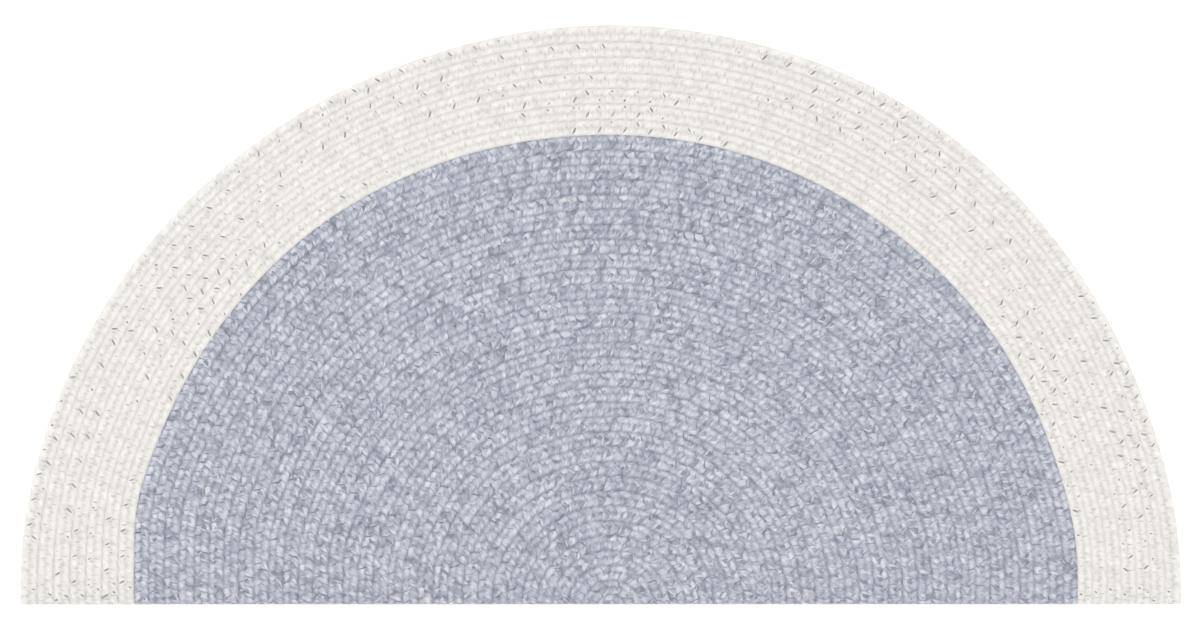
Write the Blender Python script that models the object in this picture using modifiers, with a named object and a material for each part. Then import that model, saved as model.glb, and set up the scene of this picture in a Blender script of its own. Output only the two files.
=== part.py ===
"""Half-round braided rug: a coil of flat three-strand braid, cut along one straight edge.

The blue-grey field has 32 turns of braid and the cream border has 7. Each turn shows two ribs,
the two columns of the braid's herringbone face. The rug lies flat on +Z = 0. Its straight edge
runs along X and its arc rises towards +Y. The origin is the middle of its footprint.
Sizes are in metres.
"""

import math

import bmesh
import bpy
import numpy as np
from mathutils import Vector

# Driving dimensions
FIELD_TURNS = 32
BORDER_TURNS = 7
FIELD_RADIUS = 0.488
RIM_RADIUS = 0.600
COIL_GAP = 0.0003

# The coil's own middle lies a little right of the straight edge's middle and outside the cut
POLE_X = 0.0109
POLE_Y = -0.0056

# Section of one turn of braid: a wide inner rib and a narrow outer rib
WIDE_RIB_SHARE = 0.57
WIDE_RIB_TOP = 0.0070
NARROW_RIB_TOP = 0.0066
BRAID_MIDDLE_HEIGHT = 0.0050
SEAM_HEIGHT = 0.0042

ARC_STEPS = 36
MERGE_DISTANCE = 0.00001

# Hand-laid outline: how far the rim and the field's edge stand out from their nominal radii
# angle (degrees from +X), rim (mm), field (mm)
UNEVENNESS = (
    (0, -0.8, 3.8),
    (8, 0.0, 6.2),
    (18, -1.3, 4.0),
    (35, 0.8, 3.0),
    (50, 3.4, 0.6),
    (62, 3.8, -0.2),
    (76, 0.8, -1.6),
    (90, -1.6, -3.8),
    (110, -6.0, -3.4),
    (125, -4.6, -0.9),
    (142, -2.0, -0.9),
    (158, 0.4, -0.2),
    (169, 2.2, 1.8),
    (175, 2.2, -3.6),
    (180, 1.0, -5.6),
)

BLUE_GREY = (0.46, 0.48, 0.55)
CREAM = (0.82, 0.79, 0.76)
YARN_ROUGHNESS = 0.95

MILLIMETRE = 0.001
ALL_TURNS = FIELD_TURNS + BORDER_TURNS


def smooth_through(angle, knots, values):
    """A smooth curve through the table's points, read at one angle."""
    slopes = np.gradient(values, knots)
    i = min(max(np.searchsorted(knots, angle) - 1, 0), len(knots) - 2)
    span = knots[i + 1] - knots[i]
    s = (angle - knots[i]) / span
    return (
        values[i] * (1 + 2 * s) * (1 - s) ** 2
        + values[i + 1] * s * s * (3 - 2 * s)
        + slopes[i] * span * s * (1 - s) ** 2
        + slopes[i + 1] * span * s * s * (s - 1)
    )


def edge_radii(angle):
    """The radii of the field's edge and of the rim, at an angle in radians from +X."""
    degrees, rim, field = np.array(UNEVENNESS, float).T
    at = math.degrees(angle)
    field_radius = FIELD_RADIUS + smooth_through(at, degrees, field) * MILLIMETRE
    rim_radius = RIM_RADIUS + smooth_through(at, degrees, rim) * MILLIMETRE
    return field_radius, rim_radius


def first_turn():
    """Where the coil's innermost visible turn just touches the straight edge."""
    share = -POLE_Y / (FIELD_RADIUS - POLE_Y)
    return share * FIELD_TURNS


def cut_angle(share, angle):
    """How far round a turn starts, because its middle lies outside the cut."""
    below = -POLE_Y * (1 - share)
    return math.asin(min(1.0, below / (share * edge_radii(angle)[0])))


def lay(turn, angle):
    """The place on the floor of a point of the coil, from the middle of the straight edge.

    turn counts outwards from the coil's middle, and angle runs from 0 at the right end of the
    straight edge to pi at its left end.
    """
    field_radius, rim_radius = edge_radii(angle)
    if turn >= FIELD_TURNS:
        radius = field_radius + (turn - FIELD_TURNS) / BORDER_TURNS * (rim_radius - field_radius)
        return radius * math.cos(angle), radius * math.sin(angle)
    share = turn / FIELD_TURNS
    start = cut_angle(share, 0.0)
    end = math.pi - cut_angle(share, math.pi)
    around = start + (end - start) * angle / math.pi
    radius = share * field_radius
    x = POLE_X * (1 - share) + radius * math.cos(around)
    y = POLE_Y * (1 - share) + radius * math.sin(around)
    return x, y


def footprint_middle():
    """The middle of the rug's bounding box, from the middle of the straight edge."""
    rim = [lay(ALL_TURNS, math.pi * i / ARC_STEPS) for i in range(ARC_STEPS + 1)]
    xs = [x for x, y in rim]
    ys = [y for x, y in rim]
    return (min(xs) + max(xs)) / 2, max(ys) / 2


def ribbed_section(first, last, inner_edge, outer_edge):
    """(turn, height) points of the top face: two ribs for each turn from first to last."""
    points = [(inner_edge, SEAM_HEIGHT)]
    for turn in range(first, last):
        points.append((turn + WIDE_RIB_SHARE / 2, WIDE_RIB_TOP))
        points.append((turn + WIDE_RIB_SHARE, BRAID_MIDDLE_HEIGHT))
        points.append((turn + (1 + WIDE_RIB_SHARE) / 2, NARROW_RIB_TOP))
        points.append((turn + 1, SEAM_HEIGHT))
    points[-1] = (outer_edge, SEAM_HEIGHT)
    return [point for point in points if point[0] >= inner_edge]


def half_turned(name, section, closed):
    """A section revolved through half a turn. One turn of braid is one metre of radius here."""
    mesh = bpy.data.meshes.new(name)
    points = [(turn, 0, height) for turn, height in section]
    edges = [(i, i + 1) for i in range(len(points) - 1)]
    if closed:
        edges.append((len(points) - 1, 0))
    mesh.from_pydata(points, edges, [])
    guide = bpy.data.objects.new(name + "_section", mesh)
    bpy.context.collection.objects.link(guide)
    screw = guide.modifiers.new("Half turn", "SCREW")
    screw.angle = math.pi
    screw.steps = ARC_STEPS
    screw.render_steps = ARC_STEPS
    screw.use_merge_vertices = True
    screw.merge_threshold = MERGE_DISTANCE
    bpy.context.view_layer.update()
    evaluated = guide.evaluated_get(bpy.context.evaluated_depsgraph_get())
    turned = bpy.data.meshes.new_from_object(evaluated)
    bpy.data.objects.remove(guide)
    return turned


def close_cut_edge(solid):
    """Fills the flat wall where the turns are cut off along the straight edge."""
    bmesh.ops.remove_doubles(solid, verts=solid.verts, dist=MERGE_DISTANCE)
    open_edges = [edge for edge in solid.edges if edge.is_boundary]
    bmesh.ops.holes_fill(solid, edges=open_edges, sides=0)


def coil(name, section, closed, axis_turn, material, collection):
    """One coil of braid, laid out on the floor with its uneven outline."""
    mesh = half_turned(name, section, closed)
    solid = bmesh.new()
    solid.from_mesh(mesh)
    close_cut_edge(solid)
    middle_x, middle_y = footprint_middle()
    for vertex in solid.verts:
        turn = math.hypot(vertex.co.x, vertex.co.y) + axis_turn
        angle = math.atan2(max(vertex.co.y, 0.0), vertex.co.x)
        if abs(vertex.co.y) < MERGE_DISTANCE:
            angle = 0.0 if vertex.co.x >= 0 else math.pi
        x, y = lay(turn, angle)
        vertex.co = Vector((x - middle_x, y - middle_y, vertex.co.z))
    bmesh.ops.recalc_face_normals(solid, faces=solid.faces)
    solid.to_mesh(mesh)
    solid.free()
    mesh.materials.clear()
    mesh.materials.append(material)
    rug_piece = bpy.data.objects.new(name, mesh)
    collection.objects.link(rug_piece)
    return rug_piece


def yarn(name, colour):
    """A matt yarn."""
    material = bpy.data.materials.new(name)
    material.use_nodes = True
    shader = material.node_tree.nodes["Principled BSDF"]
    shader.inputs["Base Color"].default_value = (*colour, 1)
    shader.inputs["Roughness"].default_value = YARN_ROUGHNESS
    shader.inputs["Metallic"].default_value = 0.0
    return material


def blue_grey_field(collection):
    """The half disc of blue-grey braid, from the coil's middle to the colour change."""
    pitch = FIELD_RADIUS / FIELD_TURNS
    axis_turn = first_turn()
    outer_edge = FIELD_TURNS - COIL_GAP / 2 / pitch
    top = ribbed_section(0, FIELD_TURNS, axis_turn, outer_edge)
    section = [(turn - axis_turn, height) for turn, height in top]
    section += [(outer_edge - axis_turn, 0.0), (0.0, 0.0)]
    material = yarn("Heathered blue-grey yarn", BLUE_GREY)
    return coil("field_braid", section, False, axis_turn, material, collection)


def cream_border(collection):
    """The half ring of cream braid round the field."""
    pitch = (RIM_RADIUS - FIELD_RADIUS) / BORDER_TURNS
    inner_edge = FIELD_TURNS + COIL_GAP / 2 / pitch
    top = ribbed_section(FIELD_TURNS, ALL_TURNS, inner_edge, ALL_TURNS)
    section = top + [(ALL_TURNS, 0.0), (inner_edge, 0.0)]
    material = yarn("Cream yarn", CREAM)
    return coil("border_braid", section, True, 0.0, material, collection)


def main():
    for leftover in list(bpy.data.objects):
        bpy.data.objects.remove(leftover)
    rug = bpy.data.collections.new("half_round_braided_rug")
    bpy.context.scene.collection.children.link(rug)
    blue_grey_field(rug)
    cream_border(rug)


main()
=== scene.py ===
# %% [markdown]
# # A half-round braided rug
#
# The rug is one long flat braid, wound into a coil and laced edge to edge. The middle of the coil
# is heathered blue-grey yarn and its last turns are cream with grey flecks. The coil was then cut
# straight across, a little above its own middle, which gives the half-round shape.
#
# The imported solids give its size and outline. This script plaits the visible yarn inside them:
# three strands for every turn of the coil, each one following the rule of a flat plait.

# %% Load the frame
import math

import bpy
import numpy as np
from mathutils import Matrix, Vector


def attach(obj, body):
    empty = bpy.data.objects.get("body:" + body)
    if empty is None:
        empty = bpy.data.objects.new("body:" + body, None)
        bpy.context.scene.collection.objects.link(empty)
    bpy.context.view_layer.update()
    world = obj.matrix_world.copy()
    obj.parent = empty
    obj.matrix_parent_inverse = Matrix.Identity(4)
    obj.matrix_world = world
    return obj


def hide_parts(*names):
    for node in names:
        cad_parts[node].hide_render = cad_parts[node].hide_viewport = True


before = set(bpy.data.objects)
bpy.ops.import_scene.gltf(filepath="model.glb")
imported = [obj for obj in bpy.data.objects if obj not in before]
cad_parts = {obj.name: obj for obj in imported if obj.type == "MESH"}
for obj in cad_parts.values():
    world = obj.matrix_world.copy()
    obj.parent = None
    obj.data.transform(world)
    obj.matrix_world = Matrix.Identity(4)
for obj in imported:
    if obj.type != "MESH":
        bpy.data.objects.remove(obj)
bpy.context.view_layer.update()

# %% [markdown]
# ## The plan of the coil
#
# A real coil is one spiral. Cut in half, its turns can't be told from nested half rings, and rings
# are easier to place. So every part of the rug is placed by two numbers: which turn it is on,
# counted from the coil's middle, and how far round it is.
#
# Braid is laid by hand, so the rim and the colour change wander a few millimetres from true
# circles. A short table holds those offsets and a smooth curve joins them, which is simpler to
# read and to change than hundreds of points.

# %% Named sizes of the coil
MM = 0.001
FULL_TURN = 2 * math.pi
FIELD_TURNS = 32
BORDER_TURNS = 7
ALL_TURNS = FIELD_TURNS + BORDER_TURNS
LAST_TURN = ALL_TURNS - 1   # turns are counted from 0
FIELD_RADIUS = 488 * MM
RIM_RADIUS = 600 * MM
POLE_X = 10.9 * MM          # the coil's own middle, from the middle of the straight edge
POLE_Y = -5.6 * MM
ARC_STEPS = 36              # as many as the solids have round their half turn

# angle (degrees from +X), rim (mm), field's edge (mm)
UNEVENNESS = np.array((
    (0, -0.8, 3.8),
    (8, 0.0, 6.2),
    (18, -1.3, 4.0),
    (35, 0.8, 3.0),
    (50, 3.4, 0.6),
    (62, 3.8, -0.2),
    (76, 0.8, -1.6),
    (90, -1.6, -3.8),
    (110, -6.0, -3.4),
    (125, -4.6, -0.9),
    (142, -2.0, -0.9),
    (158, 0.4, -0.2),
    (169, 2.2, 1.8),
    (175, 2.2, -3.6),
    (180, 1.0, -5.6),
))
print(ALL_TURNS, "turns, each about", round(FIELD_RADIUS / FIELD_TURNS / MM, 1), "mm broad")


# %% A smooth curve through the table
def smooth_through(angle, knots, values):
    """Cubic curve through the table's points, read at many angles at once."""
    slopes = np.gradient(values, knots)
    i = np.clip(np.searchsorted(knots, angle) - 1, 0, len(knots) - 2)
    span = knots[i + 1] - knots[i]
    s = (angle - knots[i]) / span
    return (
        values[i] * (1 + 2 * s) * (1 - s) ** 2
        + values[i + 1] * s * s * (3 - 2 * s)
        + slopes[i] * span * s * (1 - s) ** 2
        + slopes[i + 1] * span * s * s * (s - 1)
    )


def edge_radii(angle):
    """Radii of the field's edge and of the rim, at angles in radians from +X."""
    degrees, rim, field = UNEVENNESS.T
    at = np.degrees(np.clip(angle, 0, math.pi))
    field_radius = FIELD_RADIUS + smooth_through(at, degrees, field) * MM
    rim_radius = RIM_RADIUS + smooth_through(at, degrees, rim) * MM
    return field_radius, rim_radius


field_top, rim_top = edge_radii(FULL_TURN / 4)
print("at the top the field reaches", round(field_top / MM), "mm and the rim", round(rim_top / MM))


# %% Where a point of the coil lies
def lay(turn, around):
    """Plan position of a point, where around is the angle seen from that turn's own middle.

    The turns' middles drift from the coil's pole, just outside the cut, to the middle of the
    straight edge at the colour change.
    """
    field_radius, rim_radius = edge_radii(around)
    share = np.minimum(turn / FIELD_TURNS, 1.0)
    past = np.maximum(turn - FIELD_TURNS, 0.0) / BORDER_TURNS
    radius = share * field_radius + past * (rim_radius - field_radius)
    x = POLE_X * (1 - share) + radius * np.cos(around)
    y = POLE_Y * (1 - share) + radius * np.sin(around)
    return np.stack([x, y], axis=-1)


# The frame's origin is the middle of the rug's footprint
rim_line = lay(float(ALL_TURNS), np.linspace(0, math.pi, ARC_STEPS + 1))
FOOT_X = (rim_line[:, 0].min() + rim_line[:, 0].max()) / 2
FOOT_Y = rim_line[:, 1].max() / 2
CUT_LINE = -FOOT_Y
print("straight edge at y =", round(CUT_LINE, 4), "m")

# %% [markdown]
# ## Guides for the braid
#
# A guide is a bare line of points along the middle of one turn. Each point also carries what the
# plait needs there: which way is outwards, how broad the turn is and how far along the plait it
# is. The strands could be placed here too, point by point. But Geometry Nodes can read such values
# by name, so there they are worked out from a few sizes.

# %% Named sizes of the braid
STATIONS = 13               # points of a strand in one full plait
FEWEST_STEPS = 6            # on the short turns at the coil's middle
FLOAT_MIDDLE = 12.4 * MM    # one float to the next, at the coil's middle
FLOAT_EDGE = 10.0 * MM      # and at the field's edge
FLOAT_CREAM = 8.8 * MM
OVERRUN = 5.0 * MM          # guides run past the cut, and the strands are trimmed there
MEASURED_POINTS = 1500      # a turn's length is measured through this many points
STRANDS = 3
THIRD = FULL_TURN / 3       # the strands are a third of a plait apart
LANE_STEP = 0.31            # tells a turn's strands apart where noise is read

rng = np.random.default_rng(39)
phase = rng.uniform(0, FULL_TURN, ALL_TURNS)


def plait_length(turn):
    """Length of braid in which each strand makes one full plait, which is three floats."""
    if turn >= FIELD_TURNS:
        return 3 * FLOAT_CREAM
    return 3 * (FLOAT_MIDDLE + (FLOAT_EDGE - FLOAT_MIDDLE) * turn / FIELD_TURNS)


longest, shortest = plait_length(0), plait_length(LAST_TURN)
print("a full plait is", round(longest / MM), "to", round(shortest / MM), "mm long")


# %% One turn's middle line
def turn_line(turn):
    """Angles along a turn from right to left, with the length from the cut at each."""
    middle = turn + 0.5
    share = min(middle / FIELD_TURNS, 1.0)
    below = -POLE_Y * (1 - share)
    radius = share * FIELD_RADIUS
    start = math.asin(min(1.0, below / radius))
    spare = OVERRUN / radius
    around = np.linspace(start - spare, math.pi - start + spare, MEASURED_POINTS)
    steps = np.linalg.norm(np.diff(lay(middle, around), axis=0), axis=1)
    return around, np.concatenate([[0.0], np.cumsum(steps)]) - OVERRUN


def turn_length(turn):
    """Length of a turn from cut end to cut end."""
    return turn_line(turn)[1][-1] - OVERRUN


def run_of_braid(first, last):
    """Metres of braid in some turns of the coil."""
    return sum(turn_length(turn) for turn in range(first, last))


print("the coil holds", round(run_of_braid(0, ALL_TURNS), 1), "m of braid")


# %% Places along a turn, and how far its middle leans
LEAN = 0.075                # of a turn's breadth
LEAN_LOSS = 0.005           # less of it with each turn
LOSS_FROM = 24              # from this turn on
LOSS_TURNS = 9              # for this many turns


def stations(turn, spacing):
    """Evenly spaced lengths along a turn, from one end of its guide to the other."""
    length = turn_line(turn)[1]
    count = max(FEWEST_STEPS, round((length[-1] - length[0]) / spacing))
    return np.linspace(length[0], length[-1], count + 1)


def lean_of(turn):
    """How far out the braid's middle lies. The inner rib is wider, less so towards the rim."""
    return LEAN - LEAN_LOSS * min(max(turn - LOSS_FROM, 0), LOSS_TURNS)


print("the middle leans", lean_of(0), "of a turn, and", round(lean_of(LAST_TURN), 3), "at the rim")

# %% A guide with all that it carries
RIM_TUCK = 1.7 * MM         # folds stand out past a turn, so the last one is laid this much in
INNERMOST = 0.02            # turn 0 is measured from here, since the very middle has no outwards


def guide_at(turn, stops):
    """A turn's middle line at some lengths from the cut, with the values that it carries."""
    around, length = turn_line(turn)
    angle = np.interp(stops, length, around)
    across = lay(turn + 1.0, angle) - lay(max(turn, INNERMOST), angle)
    breadth = np.linalg.norm(across, axis=1)
    outward = across / breadth[:, None]
    tuck = RIM_TUCK * max(turn + 1 - FIELD_TURNS, 0) / BORDER_TURNS
    return {
        "place": lay(turn + 0.5, angle) - (FOOT_X, FOOT_Y) - outward * tuck,
        "outward": outward,
        "breadth": breadth,
        "plait": phase[turn] + FULL_TURN * stops / plait_length(turn),
        "lean": lean_of(turn),
        "fullness": 1.0,
        "along": stops,
        "lane": float(turn),
    }


guides = [
    guide_at(turn, stations(turn, plait_length(turn) / STATIONS)) for turn in range(ALL_TURNS)
]
print(len(guides), "turns,", sum(len(line["place"]) for line in guides), "guide points")


# %% Guides as a mesh of bare edges
CARRIED = ("breadth", "plait", "lean", "fullness", "along", "lane")


def guide_mesh(name, lines):
    """Joins guide lines into one mesh of edges that carries the named values point by point."""
    mesh = bpy.data.meshes.new(name)
    points = np.concatenate([line["place"] for line in lines])
    edges = []
    for line in lines:
        first = edges[-1][1] + 1 if edges else 0
        edges += [(first + i, first + i + 1) for i in range(len(line["place"]) - 1)]
    mesh.from_pydata(np.pad(points, ((0, 0), (0, 1))).tolist(), edges, [])
    for key in CARRIED:
        value = np.concatenate([np.broadcast_to(line[key], len(line["place"])) for line in lines])
        mesh.attributes.new(key, "FLOAT", "POINT").data.foreach_set("value", value.astype("f4"))
    outward = np.pad(np.concatenate([line["outward"] for line in lines]), ((0, 0), (0, 1)))
    stored = mesh.attributes.new("outward", "FLOAT_VECTOR", "POINT")
    stored.data.foreach_set("vector", outward.astype("f4").ravel())
    return mesh


print("each guide point carries outward,", ", ".join(CARRIED))

# %% [markdown]
# ## The plait as a rule
#
# In a flat three-strand plait each strand crosses from side to side in straight floats, turns
# over at the edge and comes back underneath. As a rule that is sines of one angle: sideways it is
# sin(t) made straighter by a little of sin(3t), and up and down it is sin(2t). The strand is a
# soft flat band, so it also rolls over as it goes round each edge.
#
# The floats could be modelled once and repeated, but turns differ in length and the plait has to
# fit each one. Geometry Nodes suit this: the rule is worked out for every point at once, and the
# same tree makes the field, the border and the flecks with other values of its inputs.


# %% A helper that adds a node
def add(tree, kind, inputs=None, **settings):
    """Adds a node, sets its settings, then fills each input with a value, a socket or a node."""
    made = tree.nodes.new(kind)
    for name, value in settings.items():
        setattr(made, name, value)
    for key, value in (inputs or {}).items():
        source = value.outputs[0] if isinstance(value, bpy.types.Node) else value
        if isinstance(source, bpy.types.NodeSocket):
            tree.links.new(source, made.inputs[key])
        else:
            made.inputs[key].default_value = source
    return made


# Blender's names for the nodes that are used most
MATH = "ShaderNodeMath"
VECTOR = "ShaderNodeVectorMath"
XYZ = "ShaderNodeCombineXYZ"
SPLIT = "ShaderNodeSeparateXYZ"
RANGE = "ShaderNodeMapRange"
NOISE = "ShaderNodeTexNoise"
CARRY = "ShaderNodeAttribute"
READ = "GeometryNodeInputNamedAttribute"
STORE = "GeometryNodeStoreNamedAttribute"
MOVE = "GeometryNodeSetPosition"
WHERE = "GeometryNodeInputPosition"
print("a helper adds nodes such as", MATH, "and", MOVE)

# %% The tree's named inputs
SIZES_AND_SHARES = (
    "Swing",                # side to side, as a share of the turn's breadth
    "Lift",                 # up and down, in metres as all sizes are
    "Strand width",
    "Strand thickness",
    "Middle height",        # of the braid above the floor
    "Stand off",            # from a strand's own middle line, for what lies on top of it
    "Pinch",                # share of its fullness lost where it crosses another strand
    "Fold",                 # share lost where it turns back at an edge
    "Roundness",            # 1 is an ellipse and less is squarer
    "Groove",               # share of the height lost along the middle of a turn
    "Seam share",           # how much of that is lost along its seams
    "Unevenness",
    "Seed",
    "Cut line",
)
PLAIT_INPUTS = {
    "Guides": "NodeSocketGeometry",
    "Strands": "NodeSocketInt",
    **{label: "NodeSocketFloat" for label in SIZES_AND_SHARES},
    "Sides": "NodeSocketInt",
    "Yarn": "NodeSocketMaterial",
}


def new_tree(name, inputs):
    """An empty Geometry Nodes tree with its named inputs, and the sockets they come from."""
    tree = bpy.data.node_groups.new(name, "GeometryNodeTree")
    for label, kind in inputs.items():
        tree.interface.new_socket(label, in_out="INPUT", socket_type=kind)
    tree.interface.new_socket("Mesh", in_out="OUTPUT", socket_type="NodeSocketGeometry")
    return tree, add(tree, "NodeGroupInput").outputs


plait, given = new_tree("Flat plait along a guide", PLAIT_INPUTS)
print("the plait has", len(PLAIT_INPUTS), "named inputs")

# %% What a guide carries, read inside the tree
breadth = add(plait, READ, {"Name": "breadth"}, data_type="FLOAT")
lean = add(plait, READ, {"Name": "lean"}, data_type="FLOAT")
turn_lane = add(plait, READ, {"Name": "lane"}, data_type="FLOAT")
fullness = add(plait, READ, {"Name": "fullness"}, data_type="FLOAT")
guide_angle = add(plait, READ, {"Name": "plait"}, data_type="FLOAT")
outward = add(plait, READ, {"Name": "outward"}, data_type="FLOAT_VECTOR")
print("the tree reads", sum(node.bl_idname == READ for node in plait.nodes), "carried values")

# %% Three strands, a third of a plait apart
curves = add(plait, "GeometryNodeMeshToCurve", {"Mesh": given["Guides"]})
copies = add(
    plait,
    "GeometryNodeDuplicateElements",
    {"Geometry": curves, "Amount": given["Strands"]},
    domain="SPLINE",
)
strand = copies.outputs["Duplicate Index"]
angle = add(plait, MATH, {0: strand, 1: THIRD, 2: guide_angle}, operation="MULTIPLY_ADD")
lane = add(plait, MATH, {0: strand, 1: LANE_STEP, 2: turn_lane}, operation="MULTIPLY_ADD")
sine = add(plait, MATH, {0: angle}, operation="SINE")
cosine = add(plait, MATH, {0: angle}, operation="COSINE")
double = add(plait, MATH, {0: angle, 1: 2.0}, operation="MULTIPLY")
triple = add(plait, MATH, {0: angle, 1: 3.0}, operation="MULTIPLY")
print("with its strands the tree has", len(plait.nodes), "nodes")

# %% How full the strand is: pinched where it crosses others, folded thin at the edges
crossing = add(plait, MATH, {0: double}, operation="COSINE")
at_crossing = add(plait, MATH, {0: crossing, 1: crossing}, operation="MULTIPLY")
pinched = add(plait, MATH, {0: at_crossing, 1: given["Pinch"]}, operation="MULTIPLY")
at_edge = add(plait, MATH, {0: sine, 1: sine}, operation="MULTIPLY")
folded = add(plait, MATH, {0: at_edge, 1: given["Fold"], 2: pinched}, operation="MULTIPLY_ADD")
squeezed = add(plait, MATH, {0: 1.0, 1: folded}, operation="SUBTRACT")
plump = add(plait, MATH, {0: squeezed, 1: fullness}, operation="MULTIPLY")
print("with its fullness,", len(plait.nodes))

# %% The roll round each edge
backwards = add(plait, MATH, {0: 1.0, 1: cosine}, operation="SUBTRACT")
half_roll = add(plait, MATH, {0: backwards, 1: FULL_TURN / 4}, operation="MULTIPLY")
roll_cosine = add(plait, MATH, {0: half_roll}, operation="COSINE")
roll_sine = add(plait, MATH, {0: half_roll}, operation="SINE")
face_up = add(plait, MATH, {0: roll_cosine}, operation="SIGN")
on_face = add(plait, MATH, {0: given["Stand off"], 1: face_up}, operation="MULTIPLY")
stand_off = add(plait, MATH, {0: on_face, 1: squeezed}, operation="MULTIPLY")
print("with its roll,", len(plait.nodes))

# %% The swing from side to side
STRAIGHTER = -0.12          # of sin(3t), which makes the crossings straight and the turns tight

third_sine = add(plait, MATH, {0: triple}, operation="SINE")
straight = add(plait, MATH, {0: third_sine, 1: STRAIGHTER, 2: sine}, operation="MULTIPLY_ADD")
swung = add(plait, MATH, {0: straight, 1: given["Swing"]}, operation="MULTIPLY")
near_middle = add(plait, MATH, {0: cosine, 1: cosine}, operation="MULTIPLY")
leaning = add(plait, MATH, {0: near_middle, 1: lean, 2: swung}, operation="MULTIPLY_ADD")
reach = add(plait, MATH, {0: leaning, 1: breadth}, operation="MULTIPLY")
sideways = add(plait, MATH, {0: stand_off, 1: roll_sine, 2: reach}, operation="MULTIPLY_ADD")
print("with its swing,", len(plait.nodes))

# %% The rise and fall
middle_height = given["Middle height"]
wave = add(plait, MATH, {0: double}, operation="SINE")
lifted = add(plait, MATH, {0: wave, 1: given["Lift"], 2: middle_height}, operation="MULTIPLY_ADD")
height = add(plait, MATH, {0: stand_off, 1: roll_cosine, 2: lifted}, operation="MULTIPLY_ADD")
print("with its rise and fall,", len(plait.nodes))

# %% Hand-made unevenness
WANDER_SCALE = 90.0         # the strands wander to and fro about every 11 mm
NO_WANDER = (0.5, 0.5, 0.5)  # the noise lies round this grey

reading = add(plait, MATH, {0: lane, 1: given["Seed"]}, operation="ADD")
wander = add(
    plait,
    NOISE,
    {"Vector": add(plait, WHERE), "W": reading, "Scale": WANDER_SCALE, "Detail": 1.0},
    noise_dimensions="4D",
).outputs["Color"]
centred = add(plait, VECTOR, {0: wander, 1: NO_WANDER}, operation="SUBTRACT")
jitter = add(plait, VECTOR, {0: centred, "Scale": given["Unevenness"]}, operation="SCALE")
print("with its unevenness,", len(plait.nodes))

# %% The strand's path, which remembers its strand and the middle line it came from
aside = add(plait, VECTOR, {0: outward, "Scale": sideways}, operation="SCALE")
shift = add(plait, VECTOR, {0: aside, 1: add(plait, XYZ, {"Z": height})}, operation="ADD")
offset = add(plait, VECTOR, {0: shift, 1: jitter}, operation="ADD")
told_apart = add(
    plait,
    STORE,
    {"Geometry": copies, "Name": "lane", "Value": lane},
    data_type="FLOAT",
    domain="POINT",
)
remembered = add(
    plait,
    STORE,
    {"Geometry": told_apart, "Name": "middle_line", "Value": add(plait, WHERE)},
    data_type="FLOAT_VECTOR",
    domain="POINT",
)
placed = add(plait, MOVE, {"Geometry": remembered, "Offset": offset})
upright = add(plait, "GeometryNodeSetCurveNormal", {"Curve": placed}, mode="Z_UP")
rolled = add(plait, "GeometryNodeSetCurveTilt", {"Curve": upright, "Tilt": half_roll})
print("with its path,", len(plait.nodes))

# %% The strand's section: a circle made squarer, then given its width and thickness
circle = add(
    plait, "GeometryNodeCurvePrimitiveCircle", {"Resolution": given["Sides"], "Radius": 1.0}
)
marked = add(
    plait,
    STORE,
    {"Geometry": circle, "Name": "section", "Value": add(plait, WHERE)},
    data_type="FLOAT_VECTOR",
    domain="POINT",
)
roundness = given["Roundness"]
powers = add(plait, XYZ, {"X": roundness, "Y": roundness, "Z": 1.0})
unsigned = add(plait, VECTOR, {0: add(plait, WHERE)}, operation="ABSOLUTE")
signs = add(plait, VECTOR, {0: add(plait, WHERE)}, operation="SIGN")
squarer = add(plait, VECTOR, {0: unsigned, 1: powers}, operation="POWER")
signed = add(plait, VECTOR, {0: squarer, 1: signs}, operation="MULTIPLY")
full_size = add(plait, XYZ, {"X": given["Strand width"], "Y": given["Strand thickness"]})
half_size = add(plait, VECTOR, {0: full_size, "Scale": 0.5}, operation="SCALE")
band = add(plait, VECTOR, {0: signed, 1: half_size}, operation="MULTIPLY")
section = add(plait, MOVE, {"Geometry": marked, "Position": band})
swept = add(
    plait,
    "GeometryNodeCurveToMesh",
    {"Curve": rolled, "Profile Curve": section, "Scale": plump, "Fill Caps": True},
)
print("with its section,", len(plait.nodes))

# %% Where a point of the strand lies across its turn, from -0.5 to 0.5
here = add(plait, WHERE)
middle_line = add(plait, READ, {"Name": "middle_line"}, data_type="FLOAT_VECTOR")
away = add(plait, VECTOR, {0: here, 1: middle_line}, operation="SUBTRACT")
across = add(plait, VECTOR, {0: away, 1: outward}, operation="DOT_PRODUCT").outputs["Value"]
share = add(plait, MATH, {0: across, 1: breadth}, operation="DIVIDE")
share_angle = add(plait, MATH, {0: share, 1: FULL_TURN}, operation="MULTIPLY")
share_cosine = add(plait, MATH, {0: share_angle}, operation="COSINE")
inwards = add(plait, MATH, {0: share_cosine, 1: 0.5, 2: 0.5}, operation="MULTIPLY_ADD")
lean_here = add(plait, MATH, {0: inwards, 1: lean}, operation="MULTIPLY")
evened = add(plait, MATH, {0: share, 1: lean_here}, operation="SUBTRACT")
ribbed = add(
    plait,
    STORE,
    {"Geometry": swept, "Name": "share", "Value": evened},
    data_type="FLOAT",
    domain="POINT",
)
print("with its place across the turn,", len(plait.nodes))

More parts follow.
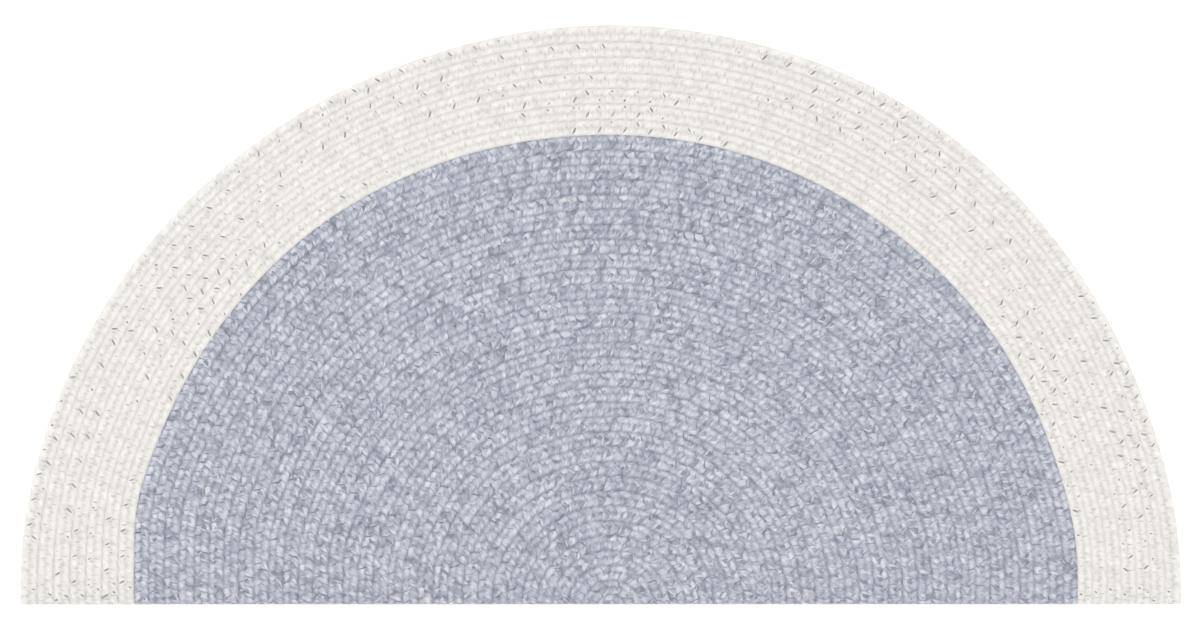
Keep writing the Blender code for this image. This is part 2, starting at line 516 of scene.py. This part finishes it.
# %% Hollow is 0 on the top of each rib and 1 along the middle, with a share of that at the seams
rib_angle = add(plait, MATH, {0: evened, 1: 2 * FULL_TURN}, operation="MULTIPLY")
ribs = add(plait, MATH, {0: rib_angle}, operation="COSINE")
off_crest = add(plait, MATH, {0: ribs, 1: 0.5, 2: 0.5}, operation="MULTIPLY_ADD")
weight = add(plait, RANGE, {"Value": inwards, "To Min": given["Seam share"]})
hollow = add(plait, MATH, {0: off_crest, 1: weight}, operation="MULTIPLY")
taken = add(plait, MATH, {0: hollow, 1: given["Groove"]}, operation="MULTIPLY")
left = add(plait, MATH, {0: 1.0, 1: taken}, operation="SUBTRACT")

place = add(plait, SPLIT, {0: here}).outputs
from_middle = add(plait, MATH, {0: place["Z"], 1: middle_height}, operation="SUBTRACT")
drawn_in = add(
    plait, MATH, {0: from_middle, 1: left, 2: middle_height}, operation="MULTIPLY_ADD"
)
print("with its grooves,", len(plait.nodes))

# %% Pressed down along the cut and trimmed there
PRESSED_REACH = 7 * MM      # the braid is pressed down this far in from the cut
PRESSED_SHARE = 0.5         # to this share of its height
PAST_CUT = 0.03             # what runs past the cut keeps this share, so no two faces coincide
OFF_FLOOR = 0.05 * MM

from_cut = add(plait, MATH, {0: place["Y"], 1: given["Cut line"]}, operation="SUBTRACT")
pressed = add(
    plait,
    RANGE,
    {"Value": from_cut, "From Max": PRESSED_REACH, "To Min": PRESSED_SHARE},
    interpolation_type="SMOOTHSTEP",
)
settled = add(plait, MATH, {0: drawn_in, 1: pressed}, operation="MULTIPLY")
kept_z = add(plait, MATH, {0: settled, 1: OFF_FLOOR}, operation="MAXIMUM")
past_cut = add(plait, MATH, {0: from_cut, 1: PAST_CUT}, operation="MULTIPLY")
flattened = add(plait, MATH, {0: from_cut, 1: past_cut}, operation="MAXIMUM")
kept_y = add(plait, MATH, {0: given["Cut line"], 1: flattened}, operation="ADD")
kept = add(plait, XYZ, {"X": place["X"], "Y": kept_y, "Z": kept_z})
trimmed = add(plait, MOVE, {"Geometry": ribbed, "Position": kept})
print("with its cut ends,", len(plait.nodes))

# %% Given its yarn
smooth = add(plait, "GeometryNodeSetShadeSmooth", {"Geometry": trimmed})
real = add(plait, "GeometryNodeRealizeInstances", {"Geometry": smooth})
dressed = add(plait, "GeometryNodeSetMaterial", {"Geometry": real, "Material": given["Yarn"]})
add(plait, "NodeGroupOutput", {0: dressed})
print("the plait's tree has", len(plait.nodes), "nodes in all")


# %% From a tree to a plain mesh
def run_tree(tree, name, mesh, values):
    """Runs a tree on a mesh and keeps its result as a plain mesh object."""
    piece = bpy.data.objects.new(name, mesh)
    bpy.context.collection.objects.link(piece)
    modifier = piece.modifiers.new(tree.name, "NODES")
    modifier.node_group = tree
    for socket in tree.interface.items_tree:
        if socket.in_out == "INPUT" and socket.name in values:
            modifier[socket.identifier] = values[socket.name]
    evaluated = piece.evaluated_get(bpy.context.evaluated_depsgraph_get())
    made = bpy.data.meshes.new_from_object(evaluated)
    piece.modifiers.remove(modifier)
    piece.data = made
    bpy.data.meshes.remove(mesh)
    made.name = name
    made.calc_loop_triangles()
    print(name, len(made.loop_triangles), "triangles")
    return piece


# %% [markdown]
# ## The yarns
#
# The yarn is spun fibre, quite matt, with a soft nap. Each strand is a bundle of thin plies laid
# side by side. In the blue-grey yarn the plies change shade every few millimetres, which gives
# the heathered look.
#
# Real plies would be thousands of thin tubes. A procedural pattern in the strand's own space does
# the same at this distance: round the strand it counts plies, and along the strand a noise changes
# each ply's shade. The colour also gets painted shade along the grooves between the ribs and where
# two plies meet. It stands in for the light that loose fibre keeps out of a real groove.


# %% Colours from hex values
def linear(code):
    """An sRGB hex colour as linear red, green, blue and alpha."""
    parts = [int(code[i:i + 2], 16) / 255 for i in (0, 2, 4)]
    return (*[p / 12.92 if p <= 0.04045 else ((p + 0.055) / 1.055) ** 2.4 for p in parts], 1.0)


def shades(ramp, stops):
    """Fills a colour ramp from (position, hex) pairs."""
    while len(ramp.elements) < len(stops):
        ramp.elements.new(1.0)
    for element, (position, code) in zip(ramp.elements, stops):
        element.position = position
        element.color = linear(code)


print("mid grey 808080 is", round(linear("808080")[0], 3), "in linear light")

# %% Which ply a point lies on
TWIST = 70 * MM             # length in which the plies go once round the strand
PLY_APART = 7.3             # how far apart in the noise two plies are read
STRAND_APART = 11.7         # and two strands


def count_plies(tree, plies):
    """Counts plies round the twisted strand. Whole numbers lie where two plies meet."""
    section = add(tree, CARRY, attribute_name="section").outputs["Vector"]
    along = add(tree, CARRY, attribute_name="along").outputs["Fac"]
    parts = add(tree, SPLIT, {0: section}).outputs
    turned = add(tree, MATH, {0: parts["Y"], 1: parts["X"]}, operation="ARCTAN2")
    twist = FULL_TURN / TWIST
    twisted = add(tree, MATH, {0: along, 1: twist, 2: turned}, operation="MULTIPLY_ADD")
    return add(tree, MATH, {0: twisted, 1: plies / FULL_TURN}, operation="MULTIPLY")


def heathered(tree, ply, plies, stops, stroke_length):
    """Gives each ply its own run of shades along the strand."""
    along = add(tree, CARRY, attribute_name="along").outputs["Fac"]
    lane = add(tree, CARRY, attribute_name="lane").outputs["Fac"]
    whole = add(tree, MATH, {0: ply}, operation="FLOOR")
    index = add(tree, MATH, {0: whole, 1: float(plies)}, operation="FLOORED_MODULO")
    row = add(tree, MATH, {0: index, 1: PLY_APART}, operation="MULTIPLY")
    layer = add(tree, MATH, {0: lane, 1: STRAND_APART}, operation="MULTIPLY")
    runs = add(tree, MATH, {0: along, 1: stroke_length}, operation="DIVIDE")
    spot = add(tree, XYZ, {"X": runs, "Y": row, "Z": layer})
    heather = add(tree, NOISE, {"Vector": spot, "Scale": 1.0, "Detail": 2.0})
    ramp = add(tree, "ShaderNodeValToRGB", {0: heather.outputs["Fac"]})
    shades(ramp.color_ramp, stops)
    return ramp


print("the plies go round once in", round(TWIST / MM), "mm")

# %% Painted shade: how dim a point's colour is made down between the ribs
RIM_CREST = 0.25            # where the outermost rib is highest, as a share of its turn


def painted_groove_shade(tree, groove_shade, seam_shade):
    """Painted shade for the colour: 1 on the ribs, groove_shade along the middle of a turn
    and seam_shade along the seams.
    """
    across = add(tree, CARRY, attribute_name="share").outputs["Fac"]
    lane = add(tree, CARRY, attribute_name="lane").outputs["Fac"]
    # The rim has no neighbour, so no painted shade darkens its outer side past the crest of its
    # rib
    at_rim = add(tree, MATH, {0: lane, 1: LAST_TURN - 0.1}, operation="GREATER_THAN")
    farthest = add(tree, MATH, {0: at_rim, 1: RIM_CREST - 1, 2: 1.0}, operation="MULTIPLY_ADD")
    share = add(tree, MATH, {0: across, 1: farthest}, operation="MINIMUM")
    rib_angle = add(tree, MATH, {0: share, 1: 2 * FULL_TURN}, operation="MULTIPLY")
    ribs = add(tree, MATH, {0: rib_angle}, operation="COSINE")
    hollow = add(tree, MATH, {0: ribs, 1: 0.5, 2: 0.5}, operation="MULTIPLY_ADD")
    turn_angle = add(tree, MATH, {0: share, 1: FULL_TURN}, operation="MULTIPLY")
    middle = add(tree, MATH, {0: turn_angle}, operation="COSINE")
    ends = {"From Min": -1.0, "To Min": seam_shade, "To Max": groove_shade}
    dimmest = add(tree, RANGE, {"Value": middle, **ends})
    return add(tree, RANGE, {"Value": hollow, "To Min": 1.0, "To Max": dimmest})


print("turn", LAST_TURN, "is the rim, with its crest", RIM_CREST, "of a turn out from its middle")

# %% Relief of plies and fibres
FIBRE_SCALE = 1400.0        # fibres about 0.7 mm apart, coarser than real so that they show
PLY_RELIEF = 0.8
FIBRE_RELIEF = 0.5
RELIEF_DEPTH = 0.9 * MM


def bulge_of(tree, ply):
    """How far a ply stands out: 1 along its middle and 0 where it meets the next."""
    within = add(tree, MATH, {0: ply}, operation="FRACT")
    half_turn = add(tree, MATH, {0: within, 1: math.pi}, operation="MULTIPLY")
    return add(tree, MATH, {0: half_turn}, operation="SINE")


def nap(tree, bulge):
    """A bump from the plies' bulge and from fine fibres that lie anyhow."""
    rug_place = add(tree, "ShaderNodeTexCoord").outputs["Object"]
    fibres = add(tree, NOISE, {"Vector": rug_place, "Scale": FIBRE_SCALE, "Detail": 2.0})
    fine = add(tree, MATH, {0: fibres, 1: FIBRE_RELIEF}, operation="MULTIPLY")
    relief = add(tree, MATH, {0: bulge, 1: PLY_RELIEF, 2: fine}, operation="MULTIPLY_ADD")
    return add(
        tree, "ShaderNodeBump", {"Height": relief, "Strength": 0.6, "Distance": RELIEF_DEPTH}
    )


print("fibres are", round(1 / FIBRE_SCALE / MM, 1), "mm apart")

# %% A spun yarn in the strand's own space
SOFT_FIBRE = {
    "Roughness": 0.95,
    "Specular IOR Level": 0.15,
    "Sheen Weight": 0.15,
    "Sheen Roughness": 0.6,
}
PLY_MEETS = 0.7             # painted shade darkens a ply where its bulge is below this


def spun_yarn(name, stops, plies, stroke_length, ply_shade, groove_shade, seam_shade):
    """Spun yarn: plies round the strand, each with its own run of shades along it. Painted shade
    darkens its colour to groove_shade along the middle of a turn, to seam_shade along the seams
    and by ply_shade where two plies meet."""
    material = bpy.data.materials.new(name)
    material.use_nodes = True
    tree = material.node_tree
    shader = tree.nodes["Principled BSDF"]
    for label, value in SOFT_FIBRE.items():
        shader.inputs[label].default_value = value
    ply = count_plies(tree, plies)
    colour = heathered(tree, ply, plies, stops, stroke_length)
    bulge = bulge_of(tree, ply)
    # Painted shade in the crease where two plies meet, down to ply_shade
    painted_ply_shade = add(tree, RANGE, {"Value": bulge, "From Max": PLY_MEETS, "To Min": ply_shade})
    # Painted shade, darker along the middle of each turn and along its seams
    painted_dimming = painted_groove_shade(tree, groove_shade, seam_shade)
    shade = add(tree, MATH, {0: painted_ply_shade, 1: painted_dimming}, operation="MULTIPLY")
    # Inputs 6 and 7 of this node are its two colours, and output 2 is their product
    mix = {"data_type": "RGBA", "blend_type": "MULTIPLY"}
    colour_with_painted_shade = add(tree, "ShaderNodeMix", {0: 1.0, 6: colour, 7: shade}, **mix)
    tree.links.new(colour_with_painted_shade.outputs[2], shader.inputs["Base Color"])
    tree.links.new(nap(tree, bulge).outputs[0], shader.inputs["Normal"])
    print(name, "has", plies, "plies and strokes", round(stroke_length / MM), "mm long")
    return material


# %% The two main yarns
# Spun blue-grey yarn, carded from several dyed fibres: a cool mid tone that breaks into lighter
# and darker strokes a few millimetres long, with no shine.
BLUE_SHADES = (
    (0.30, "9094a2"),
    (0.42, "acb0be"),
    (0.50, "bec2ce"),
    (0.58, "cdd1da"),
    (0.70, "dde0e8"),
)
# The last three numbers, here and for the cream yarn: painted shade where plies meet, mid-turn,
# seams
blue_yarn = spun_yarn(
    "Heathered blue-grey spun yarn", BLUE_SHADES, 7, 9 * MM, 0.92, 0.83, 0.75
)

# Undyed cream spun yarn: almost one warm white, so its ribs and floats show by shade alone.
CREAM_SHADES = ((0.30, "e2dcd6"), (0.50, "ece8e3"), (0.70, "f4f1ed"))
cream_yarn = spun_yarn("Cream spun yarn", CREAM_SHADES, 6, 8 * MM, 0.98, 0.885, 0.875)

# %% [markdown]
# ## The field and the border
#
# The field is made in three rings and the border in two, so that no piece is too heavy to handle.
# In a real braid the strands press each other flat. A simulation could do that, but it would take
# long for 36 m of braid, so here each strand is a wide soft band that sinks a little into its
# neighbours. The cream strands are broader and lie more evenly, so that their ribs run smoother.

# %% Sizes of the strands
STRAND = {
    "Strands": STRANDS,
    "Swing": 0.43,
    "Lift": 1.1 * MM,
    "Strand width": 11.5 * MM,
    "Strand thickness": 4.2 * MM,
    "Middle height": 3.5 * MM,
    "Stand off": 0.0,
    "Pinch": 0.15,
    "Fold": 0.38,
    "Roundness": 0.75,
    "Groove": 0.5,
    "Seam share": 0.45,
    "Unevenness": 0.9 * MM,
    "Seed": 3.0,
    "Cut line": float(CUT_LINE),
    "Sides": 8,
}
CREAM_STRAND = {
    **STRAND,
    "Lift": 0.8 * MM,
    "Strand width": 12.5 * MM,
    "Strand thickness": 4.6 * MM,
    "Pinch": 0.25,
    "Fold": 0.5,
    "Roundness": 0.7,
    "Unevenness": 0.5 * MM,
}
print("strands are", [round(s["Strand width"] / MM, 1) for s in (STRAND, CREAM_STRAND)], "mm wide")

# %% Plait the rings
RINGS = (
    ("field_inner_turns", 0, 18, blue_yarn),
    ("field_middle_turns", 18, 26, blue_yarn),
    ("field_outer_turns", 26, 32, blue_yarn),
    ("border_inner_turns", 32, 35, cream_yarn),
    ("border_outer_turns", 35, 39, cream_yarn),
)
rings = []
for name, first, last, yarn in RINGS:
    mesh = guide_mesh(name, guides[first:last])
    values = STRAND if yarn is blue_yarn else CREAM_STRAND
    rings.append(run_tree(plait, name, mesh, {**values, "Yarn": yarn}))


# %% [markdown]
# ## The packed yarn inside each turn
#
# Between the visible floats the strands of a real braid bulge until they touch, so that a turn
# shows two ribs and no holes. A band of the same yarn along the middle of each turn stands for
# that packed inside. The tree that makes the strands makes it too, with no swing and with the
# turn's two ribs drawn in. It stands almost as high as the floats, and it meets the next turn's
# band at the seam, so no gap opens right through the rug. Thicker strands would fill the gaps as
# well, but their folds would then stick out past the turn.

# %% Bands inside the turns
CORE = {
    **STRAND,
    "Strands": 1,
    "Swing": 0.0,
    "Lift": 0.0,
    "Strand width": 17.6 * MM,
    "Strand thickness": 5.5 * MM,
    "Pinch": 0.0,
    "Fold": 0.0,
    "Roundness": 0.6,
    "Groove": 0.6,
    "Seam share": 0.1,
    "Unevenness": 0.0,
    "Sides": 16,
}
CREAM_CORE = {**CORE, "Strand thickness": 6.1 * MM}
CORE_SPACING = 8 * MM
CORES = (
    ("field_core", 0, FIELD_TURNS, blue_yarn),
    ("border_core", FIELD_TURNS, ALL_TURNS, cream_yarn),
)
cores = []
for name, first, last, yarn in CORES:
    lines = [guide_at(turn, stations(turn, CORE_SPACING)) for turn in range(first, last)]
    for line in lines:
        line["plait"] = 0.0
        line["lean"] = 0.0
    values = CORE if yarn is blue_yarn else CREAM_CORE
    cores.append(run_tree(plait, name, guide_mesh(name, lines), {**values, "Yarn": yarn}))

# %% [markdown]
# ## Grey flecks in the cream
#
# One of the three strands has a grey ply spun into it here and there. That strand comes to the
# top of each rib once in a full plait, so the flecks of a run stand one plait apart, half a plait
# later on the other rib, and each one crosses its rib at the float's own slant.
#
# The flecks could be painted on, but then they would have no edge of their own close up. Each is
# a short thin strand that lies on its float. The same tree makes it, with one strand, a stand-off
# and finer sizes, so it follows the float under it without being placed by eye.

# %% A fleck on one float
OUTER_FLOAT = 45            # degrees of the plait where a strand is on top of the outer rib
INNER_FLOAT = 225           # and on top of the inner rib
LONG_FLECK = 44             # degrees to each side of that
SHORT_FLECK = 12
FLECK_POINTS = 7
SPARE_END = 3 * MM          # flecks keep this far from the cut


def fleck(turn, strand, lead, float_middle, reach, thickness):
    """A guide for a fleck, from the place in the plait that it covers."""
    covered = np.linspace(float_middle - reach, float_middle + reach, FLECK_POINTS)
    around = np.radians(covered) + FULL_TURN * lead
    stops = (around - phase[turn] - THIRD * strand) * plait_length(turn) / FULL_TURN
    taper = 0.5 + 0.5 * np.sin(np.linspace(0, math.pi, FLECK_POINTS))
    line = guide_at(turn, stops)
    line["plait"] = around
    line["lane"] = turn + LANE_STEP * strand
    line["fullness"] = thickness * taper
    return line


def clear_of_cut(line, turn):
    """Whether a fleck lies wholly on its turn."""
    start, end = line["along"][0], line["along"][-1]
    return start > SPARE_END and end < turn_length(turn) - SPARE_END


covered_share = 2 * LONG_FLECK / 360
print("a long fleck covers", round(covered_share * shortest / MM, 1), "mm of its turn")

# %% Runs of flecks along the border's turns, and a speck near each cut end
FIRST_PLAIT = (1, 10)       # a turn's first run starts from 1 to 9 plaits along
FLECKS_IN_RUN = (4, 9)      # 4 to 8 flecks
PLAITS_BETWEEN = (7, 19)    # 7 to 18 plaits from one run to the next
LONG_SHARE = 0.6            # of the flecks are long
FLECK_FULLNESS = (0.6, 1.0)
SPECK_FULLNESS = 0.9
SPECK_FROM_CUT = (5, 16)    # mm
PLAITS_TRIED = 4            # for the float that lies nearest to that

flecks = []
for turn in range(FIELD_TURNS, ALL_TURNS):
    strand = int(rng.integers(STRANDS))
    for float_middle in (INNER_FLOAT, OUTER_FLOAT):
        lead = int(rng.integers(*FIRST_PLAIT))
        while lead * plait_length(turn) < math.pi * RIM_RADIUS:
            for lead in range(lead, lead + int(rng.integers(*FLECKS_IN_RUN))):
                reach = LONG_FLECK if rng.random() < LONG_SHARE else SHORT_FLECK
                fullness = rng.uniform(*FLECK_FULLNESS)
                line = fleck(turn, strand, lead, float_middle, reach, fullness)
                if clear_of_cut(line, turn):
                    flecks.append(line)
            lead += int(rng.integers(*PLAITS_BETWEEN))
    for end in (0.0, turn_length(turn)):
        goal = abs(end - rng.uniform(*SPECK_FROM_CUT) * MM)
        lead = int(goal / plait_length(turn))
        near = [
            fleck(turn, any_strand, any_lead, INNER_FLOAT, SHORT_FLECK, SPECK_FULLNESS)
            for any_strand in range(STRANDS)
            for any_lead in range(lead, lead + PLAITS_TRIED)
        ]
        middle = FLECK_POINTS // 2
        flecks.append(min(near, key=lambda line: abs(line["along"][middle] - goal)))
print(len(flecks), "flecks")

# %% Make the flecks
# Grey ply spun in with the cream: short thin strokes, darker than the cream and quite matt.
TRACER_SHADES = ((0.30, "95918e"), (0.50, "a8a4a0"), (0.70, "bbb7b3"))
tracer_yarn = spun_yarn("Grey tracer ply", TRACER_SHADES, 3, 5 * MM, 0.95, 1.0, 1.0)
FLECK = {
    **CREAM_STRAND,
    "Strands": 1,
    "Strand width": 2.6 * MM,
    "Strand thickness": 1.5 * MM,
    "Stand off": 2.9 * MM,
    "Roundness": 0.9,
    "Sides": 6,
    "Yarn": tracer_yarn,
}
fleck_piece = run_tree(plait, "border_flecks", guide_mesh("border_flecks", flecks), FLECK)
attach(fleck_piece, "root")
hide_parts("border_braid")

# %% [markdown]
# ## What the frame is told
#
# Each ring stands in for the solid of its colour, which is hidden, and rides on the rug's one
# body.
# Before it was plaited the braid was three strands side by side, each a quarter longer than the
# braid, because a strand goes to and fro.

for piece, (name, first, last, yarn) in zip(rings + cores, RINGS + CORES):
    node = "field_braid" if first < FIELD_TURNS else "border_braid"
    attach(piece, "root")
    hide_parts(node)

# %% [markdown]
# ## Floor, light and camera
#
# The photograph looks straight down on the rug on a white ground, in even studio light. The
# ground could be painted white round the finished picture. Here a sheet of paper that glows a
# little gives it in one go, and two large lamps low down on either side bring out the ribs.

# %% Floor
FLOOR_HALF = 6              # metres
FLOOR_HEIGHT = -0.2 * MM    # just under the rug, so that no faces coincide
FLOOR_CORNERS = [
    (x * FLOOR_HALF, y * FLOOR_HALF, 0) for x, y in ((-1, -1), (1, -1), (1, 1), (-1, 1))
]
floor_mesh = bpy.data.meshes.new("floor")
floor_mesh.from_pydata(FLOOR_CORNERS, [], [(0, 1, 2, 3)])
floor = bpy.data.objects.new("floor", floor_mesh)
bpy.context.collection.objects.link(floor)
floor.location.z = FLOOR_HEIGHT

# Matt white paper that glows a little, like a light table with no lamp behind it. This is painted
# light, so that no shadow shows on it.
PAPER = {
    "Base Color": linear("fcfcfc"),
    "Roughness": 0.9,
    "Emission Color": linear("ffffff"),
    "Emission Strength": 0.12,
}
paper = bpy.data.materials.new("White studio paper")
paper.use_nodes = True
for label, value in PAPER.items():
    paper.node_tree.nodes["Principled BSDF"].inputs[label].default_value = value
floor_mesh.materials.append(paper)
print("the floor is", 2 * FLOOR_HALF, "m square")

# %% Light
SKY = {"Color": linear("ffffff"), "Strength": 0.89}
world = bpy.data.worlds.new("Studio")
bpy.context.scene.world = world
world.use_nodes = True
for label, value in SKY.items():
    world.node_tree.nodes["Background"].inputs[label].default_value = value


def soft_light(name, place, size, watts):
    """A large square light that faces the rug."""
    lamp = bpy.data.lights.new(name, "AREA")
    lamp.size = size
    lamp.energy = watts
    holder = bpy.data.objects.new(name, lamp)
    holder.location = place
    holder.rotation_euler = (-Vector(place)).to_track_quat("-Z", "Y").to_euler()
    bpy.context.collection.objects.link(holder)
    print(name, "light of", watts, "W,", round(Vector(place).length, 1), "m away")


soft_light("key", (-2.4, 1.2, 2.6), 1.2, 27)
soft_light("fill", (2.4, -1.0, 2.8), 1.8, 22)

# %% Camera
PICTURE_WIDTH = 1200        # pixels
PIXEL = 1.0336 * MM         # of the rug in each pixel
OFF_CENTRE = (-0.5, -0.95)  # pixels by which the photograph isn't centred on the rug
LENS_DISTANCE = 6.0
SENSOR = 36.0               # mm, as the lens is
camera = bpy.data.cameras.new("camera")
camera.type = "PERSP"
camera.sensor_width = SENSOR
camera.lens = SENSOR * LENS_DISTANCE / (PICTURE_WIDTH * PIXEL)
camera.clip_end = 50
eye = bpy.data.objects.new("camera", camera)
eye.location = (OFF_CENTRE[0] * PIXEL, OFF_CENTRE[1] * PIXEL, LENS_DISTANCE)
bpy.context.collection.objects.link(eye)
bpy.context.scene.camera = eye
bpy.context.scene.view_settings.view_transform = "Standard"
print("a lens of", round(camera.lens), "mm,", LENS_DISTANCE, "m above the rug")
